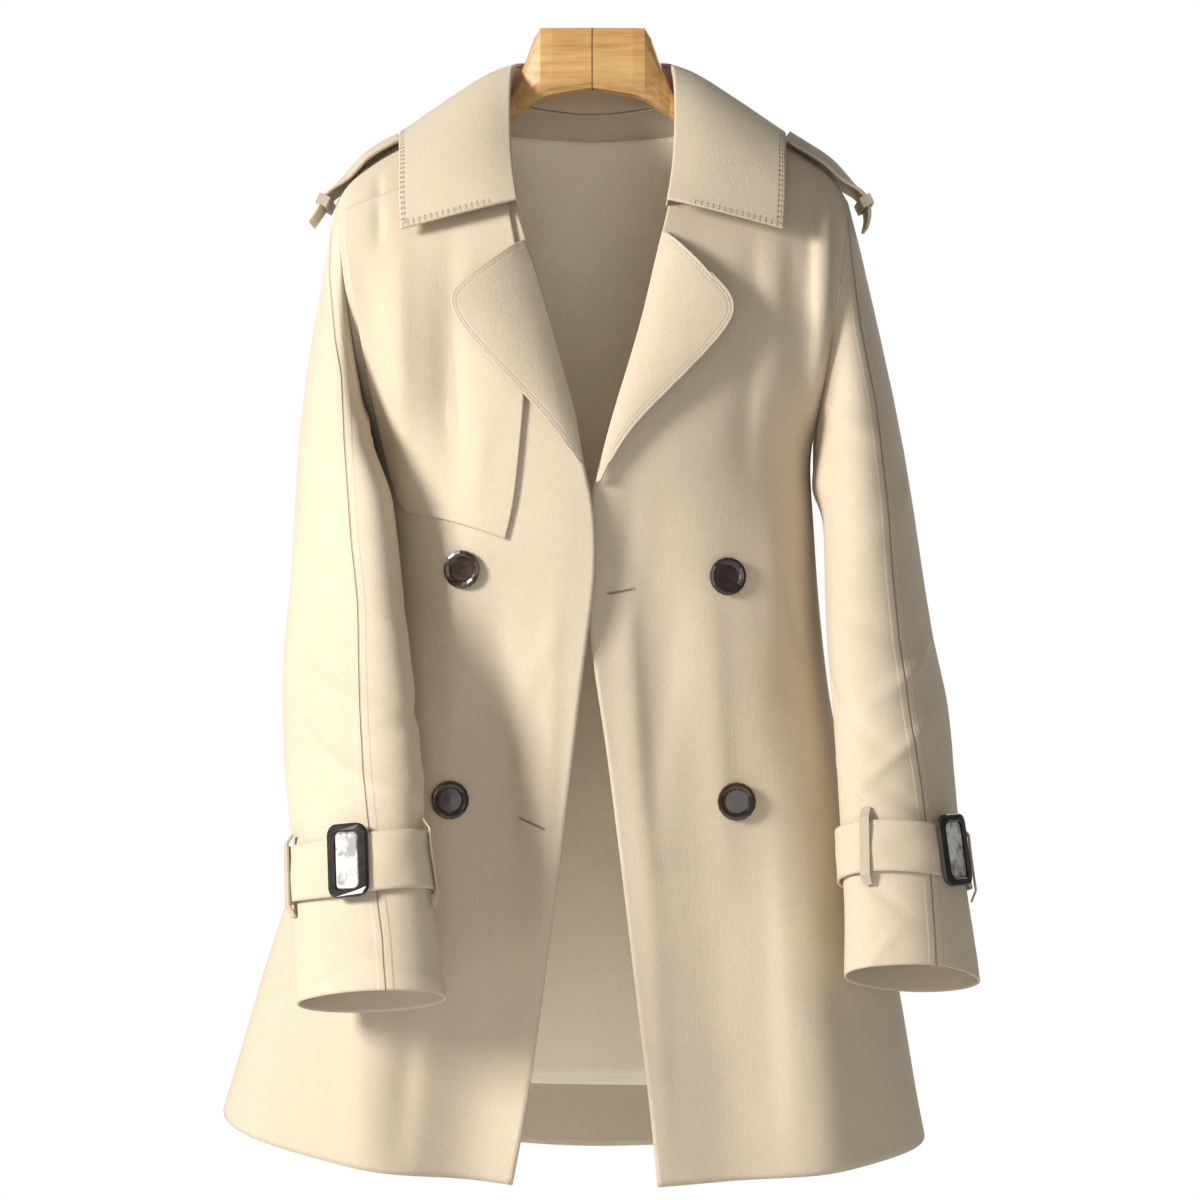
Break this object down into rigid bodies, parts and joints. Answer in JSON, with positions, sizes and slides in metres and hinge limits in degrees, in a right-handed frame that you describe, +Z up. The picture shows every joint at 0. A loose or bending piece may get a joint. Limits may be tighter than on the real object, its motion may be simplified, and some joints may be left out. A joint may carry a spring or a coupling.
{
  "type": "trench coat on hanger",
  "caption": "Short double-breasted trench coat hanging open and hollow on a broad wooden hanger, with storm flap, lapels, epaulettes and buckled sleeve straps.",
  "frame": {"origin": "middle of the flat top of the hanger's neck, where it is held", "axes": "+X to the wearer's left, +Y from the front to the back, +Z up; the coat's front faces -Y"},
  "size_m": [0.5575, 0.2889, 0.858],
  "materials": {
    "coat_cloth": "matt cotton twill in beige",
    "lining_cloth": "smooth beige lining",
    "button_horn": "polished dark brown horn",
    "buckle_black": "glossy near-black",
    "buckle_pearl": "pale marbled grey",
    "hanger_wood": "clear-varnished honey-coloured wood"
  },
  "bodies": {
    "root": {"front_right": "coat_cloth", "front_left": "coat_cloth", "back": "coat_cloth", "back_lining": "lining_cloth", "lapel_right": "coat_cloth", "lapel_left": "coat_cloth", "storm_flap": "coat_cloth", "collar_stand": "coat_cloth", "collar_leaf": "coat_cloth", "sleeve_right": "coat_cloth", "sleeve_left": "coat_cloth", "sleeve_strap_right": "coat_cloth", "sleeve_strap_left": "coat_cloth", "sleeve_loop_right_outer": "coat_cloth", "sleeve_loop_right_inner": "coat_cloth", "sleeve_loop_left_outer": "coat_cloth", "sleeve_loop_left_inner": "coat_cloth", "buckle_right": "buckle_black", "buckle_bar_right": "buckle_pearl", "buckle_left": "buckle_black", "buckle_bar_left": "buckle_pearl", "epaulette_right": "coat_cloth", "epaulette_left": "coat_cloth", "epaulette_keeper_right": "coat_cloth", "epaulette_keeper_left": "coat_cloth", "button_right_upper": "button_horn", "button_right_lower": "button_horn", "button_left_upper": "button_horn", "button_left_lower": "button_horn", "hanger": "hanger_wood"}
  },
  "joints": []
}
